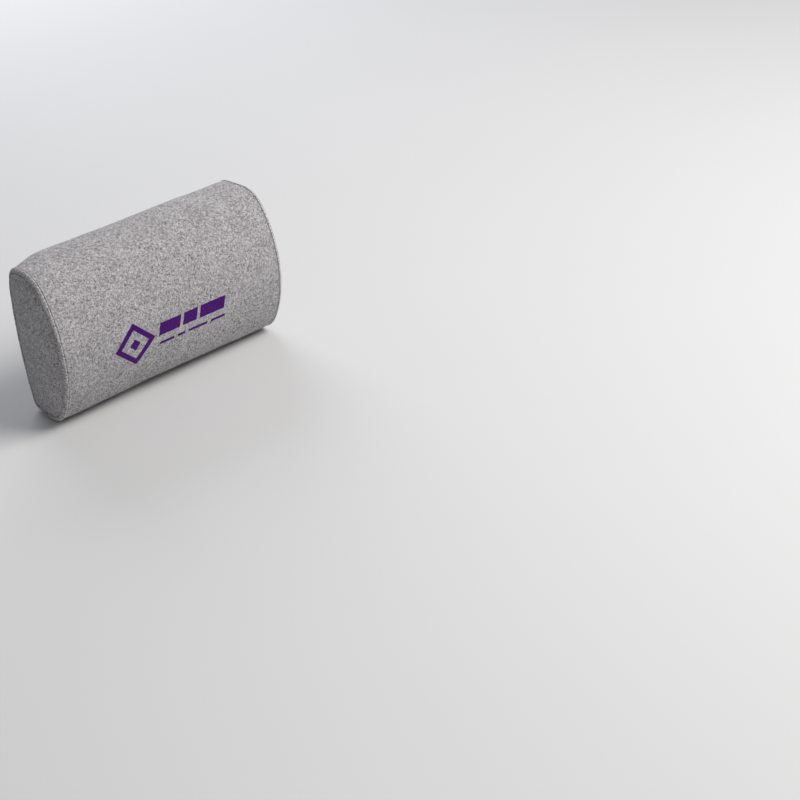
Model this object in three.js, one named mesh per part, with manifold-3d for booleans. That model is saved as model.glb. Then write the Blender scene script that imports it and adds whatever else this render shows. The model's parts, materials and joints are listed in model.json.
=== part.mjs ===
// Lumbar support cushion: a D-section padded cushion in a sewn cover, with a coil zip and a buckled
// strap across its flat back. Millimetres, +Z up. The origin is the middle of the back face, X runs
// along the cushion, and the rounded front faces -Y.

import * as THREE from 'three';
import { mergeVertices } from 'three/addons/utils/BufferGeometryUtils.js';
import Module from 'manifold-3d';

// ---- Driving dimensions ----

// The padded body
const length = 314; // end to end, over the puffed end panels
const height = 188;
const depth = 96; // back face to the crown
const crownRadius = 142; // the long curve that meets the back
const frontCornerRadius = 40;
const backCornerRadius = 10;
const endPuff = 6; // how far each end panel domes out past its seam
const endPuffBand = 24; // width of the band in which it rises
const gap = 0.3; // clearance between neighbouring pieces

// The cover
const fabric = 2; // face fabric with its backing
const backHem = 4; // how far the front panel runs onto the back, past its corner
const weltWidth = 4; // raised seam round each end panel
const weltDepth = 5;
const linerThickness = 0.8;
const linerSlit = [140, 4]; // hand opening the foam goes in through, length and height
const foamEndRound = [12, 20]; // rounding of the foam's ends, along X and across

// The zip
const zipZ = -48; // height of the zip on the back
const chainEndInset = 39; // coil's end to the cushion's end
const coilWidth = 2.85;
const coilThickness = 1.9;
const tapeWidth = 15;
const tapeThickness = 0.7;
const tapeEndAllowance = 12; // tape past the coil, sewn under the panels
const slotEndAllowance = 8; // slot between the panels, past the coil
const sliderLength = 11;
const sliderWidth = 8.8;
const sliderPlate = 1.3; // thickness of its outer plate
const sliderBackPlate = 1;
const neckSize = [2, 1.8]; // post that joins the slider's two plates, along X and Z
const bridgeWidth = 2.4;
const bridgeHeight = 3.1; // above the slider's outer plate
const bridgeLength = 8.8;
const bridgeBar = 1;
const pullLength = 22;
const pullWidth = 6.8;
const pullThickness = 1.2;
const pullBar = 1.2; // bar that turns in the bridge
const stopLength = 2.6;

// The strap
const webbingWidth = 25;
const webbing = 1.5;
const strapZ = 0;
const strapEndInset = 26; // strap end to the cushion's end
const sewnLength = 28;
const patchMargin = 3; // reinforcing patch past the webbing, each way
const patchThickness = 1.2;
const liftRun = 8; // length over which the webbing rises
const foldDrop = 15; // length over which the folded layer comes down
const foldFlat = 6; // length over which it first runs level
const foldClearance = 0.55; // between the webbing and the bar it folds round
const foldedEnd = 16; // sewn-down end of the right strap
const keeperLength = 10;
const keeperWall = 1;
const keeperClearance = 11; // keeper to the folded layer's slope
const tailPastKeeper = 12;

// The side-release buckle
const buckleEndInset = 137; // face where the two halves meet, to the cushion's left end
const buckleBase = 0.7; // above the back face
const buckleThickness = 8.8;
const femaleRail = 3.8; // beside its webbing slot
const femaleWall = 2.8;
const pocketLength = 25;
const pocketHeight = 5.4;
const buckleBar = [3.5, 2.2]; // bar the webbing folds round, along X and Y
const slotLength = 6;
const maleRail = 2.8;
const maleBlock = 9;
const maleSlot = 8.4;
const prongSize = [17, 5.2]; // guide between the arms, along X and Z
const armThickness = 3.8;
const armBeam = 2.4;
const armTipGap = 1.8; // arm's tip to the pocket's end
const windowStart = 11.3; // mouth to the side windows
const latchGap = 0.6; // arm's shoulder to the window's edge

// The blank care label
const labelSize = [30, 34];
const labelThickness = 0.6;
const labelEndInset = 31; // label to the cushion's right end

// ---- Materials ----

const melange = finish(0xa5a3a4, 0.95);
const innerCloth = finish(0xe6e4df, 0.95);
const polyFoam = finish(0xd9cfa8, 0.9);
const tapeCloth = finish(0x2b2b2d, 0.9);
const nylonCoil = finish(0x232325, 0.5);
const castMetal = finish(0x3a3a3d, 0.35, 1);
const blackWebbing = finish(0x19191b, 0.9);
const acetal = finish(0x151517, 0.45);
const labelCloth = finish(0xf1f0ec, 0.9);

function finish(color, roughness, metalness = 0) {
  return new THREE.MeshStandardMaterial({ color, roughness, metalness });
}

// ---- Solids ----

const wasm = await Module();
wasm.setup();

function toSolid(geometry) {
  geometry.deleteAttribute('normal');
  geometry.deleteAttribute('uv');
  const merged = mergeVertices(geometry, 1e-4);
  return new wasm.Manifold(new wasm.Mesh({
    numProp: 3,
    vertProperties: Float32Array.from(merged.attributes.position.array),
    triVerts: Uint32Array.from(merged.index.array),
  }));
}

function toGeometry(solid) {
  const mesh = solid.getMesh();
  const geometry = new THREE.BufferGeometry();
  geometry.setAttribute('position', new THREE.BufferAttribute(mesh.vertProperties, 3));
  geometry.setIndex(new THREE.BufferAttribute(mesh.triVerts, 1));
  return geometry;
}

function subtractAll(solid, cuts) {
  return cuts.reduce((rest, cut) => rest.subtract(cut), solid);
}

function addAll(solids) {
  return solids.reduce((sum, solid) => sum.add(solid));
}

// A box between two limits on each axis.
function block([x0, x1], [y0, y1], [z0, z1]) {
  const box = new THREE.BoxGeometry(x1 - x0, y1 - y0, z1 - z0);
  return toSolid(box.translate((x0 + x1) / 2, (y0 + y1) / 2, (z0 + z1) / 2));
}

// An outline drawn in Y and Z, run along X from x0 to x1.
const alongX = new THREE.Matrix4().makeBasis(
  new THREE.Vector3(0, 1, 0), new THREE.Vector3(0, 0, 1), new THREE.Vector3(1, 0, 0));

function runAlongX(shape, x0, x1) {
  const options = { depth: x1 - x0, bevelEnabled: false };
  const geometry = new THREE.ExtrudeGeometry(shape, options);
  return toSolid(geometry.translate(0, 0, x0).applyMatrix4(alongX));
}

// An outline drawn in X and Y, run along Z between two heights.
function runAlongZ(shape, z0, z1) {
  const options = { depth: z1 - z0, curveSegments: 4, bevelEnabled: false };
  return toSolid(new THREE.ExtrudeGeometry(shape, options).translate(0, 0, z0));
}

// An outline drawn in X and Z, run along Y between two depths.
function runAlongY(shape, y0, y1) {
  const options = { depth: y1 - y0, curveSegments: 4, bevelEnabled: false };
  const geometry = new THREE.ExtrudeGeometry(shape, options);
  return toSolid(geometry.rotateX(Math.PI / 2).translate(0, y1, 0));
}

function outline(points) {
  return new THREE.Shape(points.map(([a, b]) => new THREE.Vector2(a, b)));
}

function roundedRectangle([x0, x1], [y0, y1], radius) {
  const shape = new THREE.Shape();
  shape.absarc(x1 - radius, y0 + radius, radius, -Math.PI / 2, 0);
  shape.absarc(x1 - radius, y1 - radius, radius, 0, Math.PI / 2);
  shape.absarc(x0 + radius, y1 - radius, radius, Math.PI / 2, Math.PI);
  shape.absarc(x0 + radius, y0 + radius, radius, Math.PI, 1.5 * Math.PI);
  shape.closePath();
  return shape;
}

// ---- The D section ----

const top = height / 2;
const crownY = crownRadius - depth;
const cornerZ = top - frontCornerRadius;
const crownToCorner = crownRadius - frontCornerRadius;
const cornerLean = Math.asin(cornerZ / crownToCorner);
const cornerY = crownY - crownToCorner * Math.cos(cornerLean);

// Points of the section drawn in by an inset, with its back drawn in by another.
function sectionPoints(inset, backInset = inset) {
  const back = Math.max(backCornerRadius - inset, 1);
  const front = frontCornerRadius - inset;
  const backY = -backInset - back;
  const backZ = top - inset - back;
  const quarter = Math.PI / 2;
  const frontEnd = Math.PI - cornerLean;
  const arc = (y, z, radius, from, to, steps) =>
    new THREE.EllipseCurve(y, z, radius, radius, from, to).getPoints(steps);
  return [
    ...arc(backY, -backZ, back, -quarter, 0, 4),
    ...arc(backY, backZ, back, 0, quarter, 4),
    ...arc(cornerY, cornerZ, front, quarter, frontEnd, 7),
    ...arc(crownY, 0, crownRadius - inset, frontEnd, 2 * Math.PI - frontEnd, 14).slice(1, -1),
    ...arc(cornerY, -cornerZ, front, 2 * Math.PI - frontEnd, 3 * quarter, 7),
  ];
}

function dSection(inset, backInset) {
  return new THREE.Shape(sectionPoints(inset, backInset));
}

// A closed solid through sections at successive places along X, each [x, inset, backInset].
function loft(stations) {
  const rings = stations.map(([x, inset, backInset]) =>
    sectionPoints(inset, backInset).map((point) => [x, point.x, point.y]));
  const count = rings[0].length;
  const faces = [];
  for (let i = 0; i < rings.length - 1; i += 1) {
    for (let j = 0; j < count; j += 1) {
      const a = i * count + j;
      const b = i * count + ((j + 1) % count);
      faces.push(a, b, b + count, a, b + count, a + count);
    }
  }
  const last = (rings.length - 1) * count;
  for (let j = 1; j < count - 1; j += 1) {
    faces.push(0, j + 1, j, last, last + j, last + j + 1);
  }
  const geometry = new THREE.BufferGeometry();
  geometry.setAttribute('position', new THREE.Float32BufferAttribute(rings.flat(2), 3));
  geometry.setIndex(faces);
  return toSolid(geometry);
}

// Stations that round off an end: x grows by one radius while the inset grows by the other.
function roundedEnd(x, inset, backInset, alongEnd, acrossEnd) {
  return [1, 2, 3, 4].map((step) => {
    const angle = (step * Math.PI) / 8;
    const drawIn = acrossEnd * (1 - Math.cos(angle));
    return [x + alongEnd * Math.sin(angle), inset + drawIn, backInset + drawIn];
  });
}

// ---- Places worked out from the driving dimensions ----

const seamX = length / 2 - endPuff; // outer face of the welts
const panelX = seamX - weltWidth - gap; // ends of the front and back panels
const hemZ = top - backCornerRadius - backHem; // front panel's edges on the back

const chainHalfLength = length / 2 - chainEndInset;
const tapeSpan = [-fabric - gap - tapeThickness, -fabric - gap];
const coilSpan = [tapeSpan[1] + gap, tapeSpan[1] + gap + coilThickness];
const slotHalfHeight = sliderWidth / 2 + 0.8;
const slotX = chainHalfLength + slotEndAllowance;
const sliderX = chainHalfLength - sliderLength / 2 - stopLength;
const neckX = sliderX + 2.6;
const spreadX = neckX - 0.4; // the two halves part here, round the neck
const spreadZ = neckSize[1] / 2 + 0.4;
const sliderBack = [tapeSpan[0] - gap - sliderBackPlate, tapeSpan[0] - gap];
const sliderTop = [coilSpan[1] + gap, coilSpan[1] + gap + sliderPlate];
const pullY = sliderTop[1] + (bridgeHeight - bridgeBar) / 2; // axis of the pull

const linerInset = fabric + gap;
const linerBackInset = -sliderBack[0] + 2 * gap;
const foamInset = linerThickness + gap; // from the liner's outside

const slotWidth = webbingWidth + 1.4;
const femaleWidth = slotWidth + 2 * femaleRail;
const maleWidth = slotWidth + 2 * maleRail;
const buckleX = buckleEndInset - length / 2;
const sewnY = [gap, gap + webbing];
const freeY = keeperWall + 2 * gap + webbing / 2; // leaves room for the keeper underneath
const barY = freeY + webbing / 2 + foldClearance + buckleBar[1] / 2;
const foldRadius = barY - freeY;
const foldedY = freeY + webbing + 0.4;
const buckleY = [buckleBase, buckleBase + buckleThickness];
const pocketY = [
  buckleBase + (buckleThickness - pocketHeight) / 2,
  buckleBase + (buckleThickness + pocketHeight) / 2,
];
const armY = [
  buckleBase + (buckleThickness - armThickness) / 2,
  buckleBase + (buckleThickness + armThickness) / 2,
];
const pocketZ = femaleWidth / 2 - femaleWall;
const femaleSlot = buckleX + pocketLength + 2; // near side of the slot
const femaleBar = femaleSlot + slotLength; // near side of the bar
const maleBar = buckleX - maleBlock - maleSlot;
const windowEnd = pocketLength - 0.5;
const barCorner = 0.6; // the fold's centre lies this far inside the bar
const maleFold = maleBar - barCorner;
const femaleFold = femaleBar + barCorner;
const keeperX1 = maleFold - foldFlat - foldDrop - keeperClearance;
const keeperX0 = keeperX1 - keeperLength;

// ---- The cover, liner and foam ----

function frontPanel() {
  const skin = runAlongX(dSection(0), -panelX, panelX)
    .subtract(runAlongX(dSection(fabric), -length, length));
  return skin.subtract(block([-length, length], [-backCornerRadius, 1], [-hemZ, hemZ]));
}

// A back panel between two heights. Its edge by the zip is cut back along the zip's slot.
function backPanel(outerZ, side) {
  const seamZ = zipZ + side * gap / 2;
  const slotZ = zipZ + side * slotHalfHeight;
  return runAlongY(outline([
    [-panelX, seamZ], [-slotX, seamZ], [-slotX, slotZ], [slotX, slotZ],
    [slotX, seamZ], [panelX, seamZ], [panelX, outerZ], [-panelX, outerZ],
  ]), -fabric, 0);
}

// A thin dome: a puffed block less the same block shifted in by the fabric's thickness.
function endPanel() {
  const inset = weltDepth + gap;
  const puff = loft([
    [seamX - fabric, inset, inset], [seamX, inset, inset],
    ...roundedEnd(seamX, inset, inset, endPuff, endPuffBand),
  ]);
  return puff.subtract(puff.translate([-fabric, 0, 0]));
}

function seamWelt() {
  return runAlongX(dSection(0), seamX - weltWidth, seamX)
    .subtract(runAlongX(dSection(weltDepth), seamX - 2 * weltWidth, seamX + weltWidth));
}

// The padded inside, drawn in from the liner's outer face by an offset.
function inside(offset) {
  const [alongEnd, acrossEnd] = foamEndRound;
  const flatX = panelX - (alongEnd - endPuff) - 1;
  const insets = [linerInset + offset, linerBackInset + offset];
  const right = [
    [flatX, ...insets],
    ...roundedEnd(flatX, ...insets, alongEnd - offset, acrossEnd),
  ];
  const left = right.map(([x, ...rest]) => [-x, ...rest]).reverse();
  return loft([...left, ...right]);
}

function foamLiner() {
  const [slitX, slitZ] = linerSlit;
  const slit = block([-slitX / 2, slitX / 2], [-linerBackInset - linerThickness - gap, 0],
    [-slitZ / 2, slitZ / 2]);
  return subtractAll(inside(0), [inside(linerThickness), slit]);
}

// ---- The zip ----

// One half of the chain, drawn from the middle line out to an edge; it is narrower round the neck.
function chainHalf(side, width, x0, x1, [y0, y1]) {
  const inner = zipZ + side * gap / 2;
  const spread = zipZ + side * spreadZ;
  const outer = zipZ + side * (gap / 2 + width);
  return runAlongY(outline([
    [x0, outer], [x0, inner], [spreadX, inner], [spreadX, spread], [x1, spread], [x1, outer],
  ]), y0, y1);
}

function zipperTape(side) {
  const end = chainHalfLength + tapeEndAllowance;
  return chainHalf(side, tapeWidth, -end, end, tapeSpan);
}

function zipperCoil(side) {
  return chainHalf(side, coilWidth, -chainHalfLength, chainHalfLength, coilSpan);
}

function topStop(side) {
  const x0 = chainHalfLength + gap;
  const z = [zipZ + side * spreadZ, zipZ + side * (gap / 2 + coilWidth)];
  return block([x0, x0 + stopLength], coilSpan, [Math.min(...z), Math.max(...z)]);
}

function bottomStop() {
  const x1 = -chainHalfLength - gap;
  const z = gap / 2 + coilWidth;
  return block([x1 - stopLength, x1], coilSpan, [zipZ - z, zipZ + z]);
}

function zipperSlider() {
  const x = [sliderX - sliderLength / 2, sliderX + sliderLength / 2];
  const z = [zipZ - sliderWidth / 2, zipZ + sliderWidth / 2];
  const flange = sliderWidth / 2 - (gap / 2 + coilWidth + gap);
  const plate = roundedRectangle(x, z, 2);
  const legX = bridgeLength / 2;
  const bridge = block([sliderX - legX, sliderX + legX],
    [sliderTop[1] - 0.5, sliderTop[1] + bridgeHeight],
    [zipZ - bridgeWidth / 2, zipZ + bridgeWidth / 2])
    .subtract(block([sliderX - legX + bridgeBar, sliderX + legX - bridgeBar],
      [sliderTop[1], sliderTop[1] + bridgeHeight - bridgeBar], z));
  return addAll([
    runAlongY(plate, ...sliderTop),
    runAlongY(plate, ...sliderBack),
    block([x[0] + 2, x[1] - 2], [tapeSpan[1] + gap, sliderTop[1]], [z[0], z[0] + flange]),
    block([x[0] + 2, x[1] - 2], [tapeSpan[1] + gap, sliderTop[1]], [z[1] - flange, z[1]]),
    block([neckX, neckX + neckSize[0]], [sliderBack[0], sliderTop[1]],
      [zipZ - neckSize[1] / 2, zipZ + neckSize[1] / 2]),
    bridge,
  ]);
}

function zipperPull() {
  const half = pullWidth / 2;
  const tab = outline([
    [pullBar / 2, -half], [pullBar / 2, half], [-7, half], [-10, half - 0.8],
    [1.5 - pullLength, half - 0.8], [-pullLength, half - 2],
    [-pullLength, 2 - half], [1.5 - pullLength, 0.8 - half], [-10, 0.8 - half], [-7, -half],
  ]);
  const window = block([-5.6, -pullBar / 2], [-pullThickness, pullThickness],
    [-bridgeWidth / 2 - 0.5, bridgeWidth / 2 + 0.5]);
  return runAlongY(tab, -pullThickness / 2, pullThickness / 2).subtract(window)
    .translate([sliderX, pullY, zipZ]);
}

// ---- The strap ----

// A run of webbing given by its centre line in X and Y.
function ribbon(centre) {
  const offsetLine = (distance) => centre.map((point, i) => {
    const before = centre[Math.max(i - 1, 0)];
    const after = centre[Math.min(i + 1, centre.length - 1)];
    const along = after.clone().sub(before).normalize();
    return [point.x - along.y * distance, point.y + along.x * distance];
  });
  const sides = [...offsetLine(webbing / 2), ...offsetLine(-webbing / 2).reverse()];
  return runAlongZ(outline(sides), strapZ - webbingWidth / 2, strapZ + webbingWidth / 2);
}

// Webbing sewn down at its outer end, lifted clear of the back, folded round a bar and laid back
// on itself. foldX is the fold's centre and side is -1 for the left strap, 1 for the right.
function strap(side, foldX, foldedEndX) {
  const outerX = side * (length / 2 - strapEndInset);
  const sewnX = outerX - side * sewnLength;
  const liftX = sewnX - side * liftRun;
  const point = (x, y) => new THREE.Vector2(x, y);
  const fold = new THREE.Path().absarc(
    foldX, barY, foldRadius, -Math.PI / 2, Math.PI / 2, side > 0).getPoints(5);
  return ribbon([
    point(outerX, (sewnY[0] + sewnY[1]) / 2), point(sewnX, (sewnY[0] + sewnY[1]) / 2),
    point(liftX, freeY), ...fold,
    point(foldX + side * foldFlat, barY + foldRadius),
    point(foldX + side * (foldFlat + foldDrop), foldedY),
    point(foldedEndX, foldedY),
  ]);
}

function strapLeft() {
  return strap(-1, maleFold, keeperX0 - tailPastKeeper);
}

function strapRight() {
  return strap(1, femaleFold, femaleFold + foldFlat + foldDrop + foldedEnd);
}

function strapPatch(side) {
  const outerX = length / 2 - strapEndInset + patchMargin;
  const innerX = length / 2 - strapEndInset - sewnLength + patchMargin;
  const x = side > 0 ? [innerX, outerX] : [-outerX, -innerX];
  const z = webbingWidth / 2 + patchMargin;
  return block(x, [sewnY[1] + gap, sewnY[1] + gap + patchThickness], [strapZ - z, strapZ + z]);
}

function strapKeeper() {
  const inner = [keeperWall + gap, foldedY + webbing / 2 + gap];
  const z = webbingWidth / 2 + 0.5;
  return block([keeperX0, keeperX1], [inner[0] - keeperWall, inner[1] + keeperWall],
    acrossStrap(z + keeperWall))
    .subtract(block([keeperX0 - 1, keeperX1 + 1], inner, acrossStrap(z)));
}

// ---- The buckle ----

function fromBuckle([a, b]) {
  return [buckleX + a, buckleX + b];
}

function acrossStrap(half) {
  return [strapZ - half, strapZ + half];
}

function buckleMale() {
  const half = maleWidth / 2;
  const rail = half - slotWidth / 2;
  const rear = maleBar - buckleBar[0];
  const railY = [buckleBase + 0.9, barY + 2.2];
  return addAll([
    runAlongY(roundedRectangle([buckleX - maleBlock, buckleX], acrossStrap(half), 1.5), ...buckleY),
    block([rear, buckleX - maleBlock + 1], railY, [strapZ - half, strapZ - half + rail]),
    block([rear, buckleX - maleBlock + 1], railY, [strapZ + half - rail, strapZ + half]),
    block([rear, maleBar], [barY - buckleBar[1] / 2, barY + buckleBar[1] / 2], acrossStrap(half)),
    block([buckleX - 1, buckleX + prongSize[0]], armY, acrossStrap(prongSize[1] / 2)),
  ]);
}

function buckleFemale() {
  const half = femaleWidth / 2;
  const slotZ = acrossStrap(slotWidth / 2);
  const end = femaleBar + buckleBar[0];
  const all = [buckleY[0] - 1, buckleY[1] + 1];
  const shell = roundedRectangle([buckleX + gap, end], acrossStrap(half), 3);
  return subtractAll(runAlongY(shell, ...buckleY), [
    block(fromBuckle([-1, pocketLength]), pocketY, acrossStrap(pocketZ)),
    block(fromBuckle([windowStart, windowEnd]), pocketY, acrossStrap(half + 1)),
    block([femaleSlot, femaleBar], all, slotZ),
    block([femaleBar - 1, end + 1], [all[0], barY - buckleBar[1] / 2], slotZ),
    block([femaleBar - 1, end + 1], [barY + buckleBar[1] / 2, all[1]], slotZ),
  ]);
}

// A springy arm whose head fills the side window. Its shoulder catches the window's near edge.
function releaseArm(side) {
  const inner = pocketZ - 4.4;
  const beam = inner + armBeam;
  const shoulder = windowStart + latchGap;
  const reach = pocketLength - armTipGap;
  const head = femaleWidth / 2 + 0.1;
  const points = [
    [gap, inner], [gap, beam], [shoulder, beam], [shoulder, head - 1.5], [shoulder + 3.6, head],
    [shoulder + 6.6, head - 0.5], [reach, beam + 0.4], [reach, inner + 0.7],
    [reach - 3, inner],
  ];
  return runAlongY(outline(points.map(([x, z]) => [buckleX + x, strapZ + side * z])), ...armY);
}

// ---- The care label ----

function careLabel() {
  const [width, drop] = labelSize;
  const labelTop = hemZ - gap;
  const labelX = length / 2 - labelEndInset - width;
  return block([labelX, labelX + width], [gap, gap + labelThickness], [labelTop - drop, labelTop]);
}

// ---- Assembly ----

const cushion = new THREE.Group();

function place(name, solid, material) {
  const mesh = new THREE.Mesh(toGeometry(solid), material);
  mesh.name = name;
  cushion.add(mesh);
}

place('front_panel', frontPanel(), melange);
place('back_panel_upper', backPanel(hemZ - gap, 1), melange);
place('back_panel_lower', backPanel(-hemZ + gap, -1), melange);
place('foam_liner', foamLiner(), innerCloth);
place('foam_core', inside(foamInset), polyFoam);
place('zipper_bottom_stop', bottomStop(), castMetal);
place('zipper_slider', zipperSlider(), castMetal);
place('zipper_pull', zipperPull(), castMetal);
place('strap_left', strapLeft(), blackWebbing);
place('strap_right', strapRight(), blackWebbing);
place('strap_keeper', strapKeeper(), acetal);
place('buckle_male', buckleMale(), acetal);
place('buckle_female', buckleFemale(), acetal);
place('care_label', careLabel(), labelCloth);

for (const [where, side] of [['right', 1], ['left', -1]]) {
  const atEnd = (solid) => (side > 0 ? solid : solid.mirror([1, 0, 0]));
  place(`end_panel_${where}`, atEnd(endPanel()), melange);
  place(`seam_welt_${where}`, atEnd(seamWelt()), melange);
  place(`strap_patch_${where}`, strapPatch(side), melange);
}

for (const [where, side] of [['upper', 1], ['lower', -1]]) {
  place(`zipper_tape_${where}`, zipperTape(side), tapeCloth);
  place(`zipper_coil_${where}`, zipperCoil(side), nylonCoil);
  place(`zipper_top_stop_${where}`, topStop(side), castMetal);
  place(`release_arm_${where}`, releaseArm(side), acetal);
}

export default cushion;
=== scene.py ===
"""Lumbar support cushion: a melange cover over foam, with a zip and a buckled strap on its back."""
import json
import math

import bpy
import numpy as np
from bpy.props import FloatProperty, FloatVectorProperty, IntProperty, PointerProperty
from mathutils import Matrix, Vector, noise
from mathutils.bvhtree import BVHTree

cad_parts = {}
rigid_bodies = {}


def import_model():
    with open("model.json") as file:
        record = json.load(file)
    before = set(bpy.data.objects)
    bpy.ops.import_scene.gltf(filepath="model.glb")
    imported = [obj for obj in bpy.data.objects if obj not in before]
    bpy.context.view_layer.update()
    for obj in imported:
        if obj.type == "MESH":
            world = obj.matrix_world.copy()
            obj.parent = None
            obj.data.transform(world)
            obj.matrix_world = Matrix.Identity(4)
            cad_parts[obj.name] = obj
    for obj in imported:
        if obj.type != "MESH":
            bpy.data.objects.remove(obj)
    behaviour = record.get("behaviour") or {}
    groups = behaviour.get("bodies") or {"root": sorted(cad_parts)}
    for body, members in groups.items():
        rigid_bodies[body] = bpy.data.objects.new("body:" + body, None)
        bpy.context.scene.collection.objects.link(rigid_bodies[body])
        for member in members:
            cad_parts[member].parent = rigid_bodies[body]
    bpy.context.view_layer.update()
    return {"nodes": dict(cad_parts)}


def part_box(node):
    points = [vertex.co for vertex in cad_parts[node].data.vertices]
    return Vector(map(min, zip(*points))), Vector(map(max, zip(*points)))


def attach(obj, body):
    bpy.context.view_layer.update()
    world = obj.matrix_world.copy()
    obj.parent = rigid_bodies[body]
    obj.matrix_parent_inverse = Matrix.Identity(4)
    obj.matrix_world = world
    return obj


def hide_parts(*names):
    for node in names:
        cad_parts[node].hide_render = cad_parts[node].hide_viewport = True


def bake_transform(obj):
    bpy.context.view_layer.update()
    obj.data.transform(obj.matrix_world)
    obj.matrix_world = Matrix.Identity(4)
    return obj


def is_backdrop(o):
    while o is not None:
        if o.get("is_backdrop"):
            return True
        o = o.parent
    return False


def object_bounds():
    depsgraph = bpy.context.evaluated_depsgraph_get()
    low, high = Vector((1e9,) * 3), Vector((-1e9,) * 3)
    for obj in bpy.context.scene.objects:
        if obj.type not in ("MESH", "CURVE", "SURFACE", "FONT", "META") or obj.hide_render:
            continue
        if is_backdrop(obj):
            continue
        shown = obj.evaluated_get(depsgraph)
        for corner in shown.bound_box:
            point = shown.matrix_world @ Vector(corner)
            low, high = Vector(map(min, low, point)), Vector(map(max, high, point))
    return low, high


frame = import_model()

bl_info = {
    "name": "Lumbar support cushion",
    "version": (1, 0, 0),
    "blender": (4, 5, 0),
    "location": "View3D > Sidebar > Cushion",
    "description": "Builds a lumbar cushion with a zip and a buckled strap on a packed CAD frame",
    "category": "Object",
}

MM = 0.001

# ---- Places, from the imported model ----

PANEL_LOW, PANEL_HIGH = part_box("front_panel")
WELT_LOW, WELT_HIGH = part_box("seam_welt_right")
COIL_LOW, COIL_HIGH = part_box("zipper_coil_upper")
HALF_HEIGHT = PANEL_HIGH.z
DEPTH = -PANEL_LOW.y
PANEL_X = PANEL_HIGH.x  # ends of the front and back panels
SEAM_X = WELT_HIGH.x  # outer face of the welts
WELT_X = (WELT_LOW.x + WELT_HIGH.x) / 2
ZIP_Z = COIL_LOW.z - 0.15 * MM
COIL_HALF = COIL_HIGH.x

# Radii of the D section and the places of its seams, as in the CAD.
CROWN_RADIUS = 142 * MM
FRONT_CORNER = 40 * MM
BACK_CORNER = 10 * MM
HEM_Z = 80 * MM  # the front panel's edges, on the back
SLOT_HALF = 5.2 * MM  # zip slot, each way from the zip's middle
SLOT_END = 126 * MM
END_INSET = 5.3 * MM  # end panels inside the outline
FABRIC = 1.8 * MM
TOPSTITCH_X = 143.8 * MM  # where the panels dip beside the welts
PUFF, PUFF_BAND = 4.5 * MM, 24 * MM  # height of an end panel's puff, and the band that it rises over
BULGE, BULGE_RUN = 4.5 * MM, 14 * MM  # the ends, past their straight place, and the length it takes
BULGE_DEPTH = 60 * MM  # how far from the back the bulge is whole
SETTLED = 15 * MM  # reach of the settled corner

# Counts round the section. The four runs are the sides of the end panels' grids.
RING = 96
SIDE, ACROSS = 36, 12
LOWER_HEM, SLOT_LOW, SLOT_HIGH, UPPER_HEM = 3, 8, 10, 33
CROWN_MIDDLE = SIDE + ACROSS + SIDE // 2
ENDS = (-1, "left"), (1, "right")


def colour(code):
    """A sRGB hex code as linear RGBA."""
    parts = [int(code[i:i + 2], 16) / 255 for i in (1, 3, 5)]
    return (*[p / 12.92 if p <= 0.04045 else ((p + 0.055) / 1.055) ** 2.4 for p in parts], 1.0)


# ---- Settings ----

class CoverSettings(bpy.types.PropertyGroup):
    light_yarn: FloatVectorProperty(
        name="Light yarn", description="Lightest yarn of the melange cloth", subtype="COLOR",
        size=4, min=0, max=1, default=colour("#e3e0e2"))
    dark_yarn: FloatVectorProperty(
        name="Dark yarn", description="Darkest yarn of the melange cloth", subtype="COLOR",
        size=4, min=0, max=1, default=colour("#1f1d1f"))
    ink: FloatVectorProperty(
        name="Print ink", description="Colour of the printed emblem and bars", subtype="COLOR",
        size=4, min=0, max=1, default=colour("#45006a"))
    swell: FloatProperty(
        name="Swell", description="Furthest that the filling may push a point of the cover",
        subtype="DISTANCE", unit="LENGTH", default=3 * MM, min=0, max=10 * MM)
    wrinkle: FloatProperty(
        name="Wrinkle", description="Height of the soft unevenness of the cover",
        subtype="DISTANCE", unit="LENGTH", default=0.5 * MM, min=0, max=3 * MM)


class StitchSettings(bpy.types.PropertyGroup):
    pitch: FloatProperty(
        name="Pitch", description="From one stitch to the next", subtype="DISTANCE",
        unit="LENGTH", default=4 * MM, min=1 * MM, max=10 * MM)
    length: FloatProperty(
        name="Length", description="Length of a stitch", subtype="DISTANCE",
        unit="LENGTH", default=3.1 * MM, min=0.5 * MM, max=9 * MM)
    thread: FloatVectorProperty(
        name="Thread", description="Colour of the sewing thread", subtype="COLOR",
        size=4, min=0, max=1, default=colour("#f2f0f2"))


class StrapSettings(bpy.types.PropertyGroup):
    webbing: FloatVectorProperty(
        name="Webbing", description="Colour of the strap", subtype="COLOR",
        size=4, min=0, max=1, default=colour("#232325"))
    ribs: IntProperty(
        name="Ribs", description="Ribs across the webbing", default=11, min=3, max=25)


class StageSettings(bpy.types.PropertyGroup):
    floor: FloatVectorProperty(
        name="Floor", description="Colour of the floor", subtype="COLOR",
        size=4, min=0, max=1, default=colour("#d6d6d6"))
    key_power: FloatProperty(
        name="Key light", description="Power of the soft key light", unit="POWER",
        default=74, min=0)
    lens: FloatProperty(
        name="Lens", description="Focal length of the camera", unit="CAMERA",
        default=72, min=10, max=300)


# ---- Materials ----

def node(tree, kind, inputs=(), **settings):
    """Adds a shader node. inputs are values, nodes or output sockets, in order or by name."""
    made = tree.nodes.new("ShaderNode" + kind)
    for key, value in settings.items():
        setattr(made, key, value)
    for key, value in inputs.items() if isinstance(inputs, dict) else enumerate(inputs):
        if isinstance(value, bpy.types.Node):
            value = value.outputs[0]
        if isinstance(value, bpy.types.NodeSocket):
            tree.links.new(value, made.inputs[key])
        else:
            made.inputs[key].default_value = value
    return made


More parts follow.
